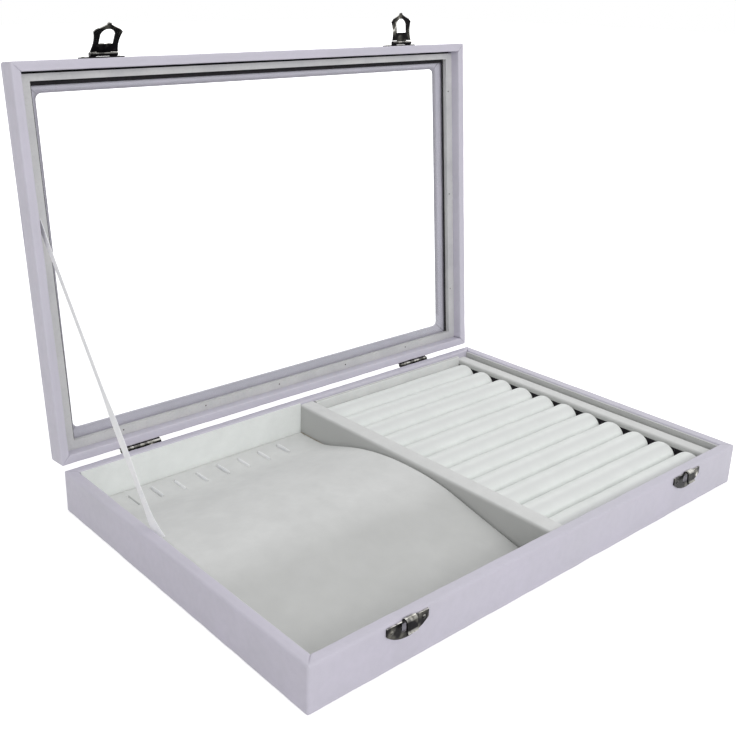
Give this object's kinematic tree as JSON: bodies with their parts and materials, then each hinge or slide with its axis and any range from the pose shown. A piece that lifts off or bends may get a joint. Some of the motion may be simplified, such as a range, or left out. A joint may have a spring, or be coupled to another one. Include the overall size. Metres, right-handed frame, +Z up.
{
  "type": "ring display box",
  "caption": "Shallow leatherette display case with a glazed hinged lid, ribbon stay, hasps, a velvet bracelet compartment and a tray of soft ring rolls.",
  "frame": {"origin": "centre of the underside of the base", "axes": "+X along the long side to the right seen from the front, +Y from the front with the keepers to the back with the hinges, +Z up"},
  "size_m": [0.35, 0.2733, 0.2809],
  "materials": {
    "leatherette": "fine-grained, semi-matt, pale lilac white",
    "velvet": "short-pile velvet, off-white",
    "foam_velvet": "velvet over foam, white",
    "glass": "clear, polished",
    "nickel": "nickel-plated, polished",
    "ribbon": "satin ribbon, white",
    "liner_board": "white paper-covered strip",
    "board": "plain board",
    "felt": "thin felt"
  },
  "bodies": {
    "case": {"case_front_wall": "leatherette", "case_back_wall": "leatherette", "case_left_wall": "leatherette", "case_right_wall": "leatherette", "bottom_board": "board", "bottom_cover": "felt", "liner_back": "velvet", "liner_left": "velvet", "liner_front": "velvet", "pad_board": "board", "bracelet_pad": "velvet", "pad_tabs": "ribbon", "tray_floor": "board", "tray_left_board": "velvet", "tray_right_board": "velvet", "tray_back_board": "velvet", "tray_front_board": "velvet", "ring_roll_01": "foam_velvet", "ring_roll_02": "foam_velvet", "ring_roll_03": "foam_velvet", "ring_roll_04": "foam_velvet", "ring_roll_05": "foam_velvet", "ring_roll_06": "foam_velvet", "ring_roll_07": "foam_velvet", "ring_roll_08": "foam_velvet", "ring_roll_09": "foam_velvet", "ring_roll_10": "foam_velvet", "ring_roll_11": "foam_velvet", "keeper_left": "nickel", "keeper_right": "nickel", "keeper_nails": "nickel", "hinge_base_leaf_left": "nickel", "hinge_pin_left": "nickel", "hinge_base_leaf_right": "nickel", "hinge_pin_right": "nickel", "hinge_base_nails": "nickel", "ribbon_stay": "ribbon"},
    "lid": {"lid_front_wall": "leatherette", "lid_back_wall": "leatherette", "lid_left_wall": "leatherette", "lid_right_wall": "leatherette", "lid_top_frame": "leatherette", "glass_pane": "glass", "glass_strip_front": "liner_board", "glass_strip_back": "liner_board", "glass_strip_left": "liner_board", "glass_strip_right": "liner_board", "hasp_plate_left": "nickel", "hasp_pin_left": "nickel", "hinge_lid_leaf_left": "nickel", "hasp_plate_right": "nickel", "hasp_pin_right": "nickel", "hinge_lid_leaf_right": "nickel", "hasp_plate_nails": "nickel", "hinge_lid_nails": "nickel"},
    "hasp_left": {"hasp_left": "nickel"},
    "hasp_right": {"hasp_right": "nickel"}
  },
  "joints": [
    {"name": "lid_hinge", "type": "hinge", "parent": "case", "child": "lid", "pos_m": [0, 0.1178, 0.0262], "axis": [1, 0, 0], "range_deg": [0, 95], "deforming": ["ribbon_stay"]},
    {"name": "hasp_left_hinge", "type": "hinge", "parent": "lid", "child": "hasp_left", "pos_m": [-0.116, 0.14645, 0.2607], "axis": [1, 0, 0], "range_deg": [-110, 55]},
    {"name": "hasp_right_hinge", "type": "hinge", "parent": "lid", "child": "hasp_right", "pos_m": [0.119, 0.14645, 0.2607], "axis": [1, 0, 0], "range_deg": [-75, 90]}
  ]
}
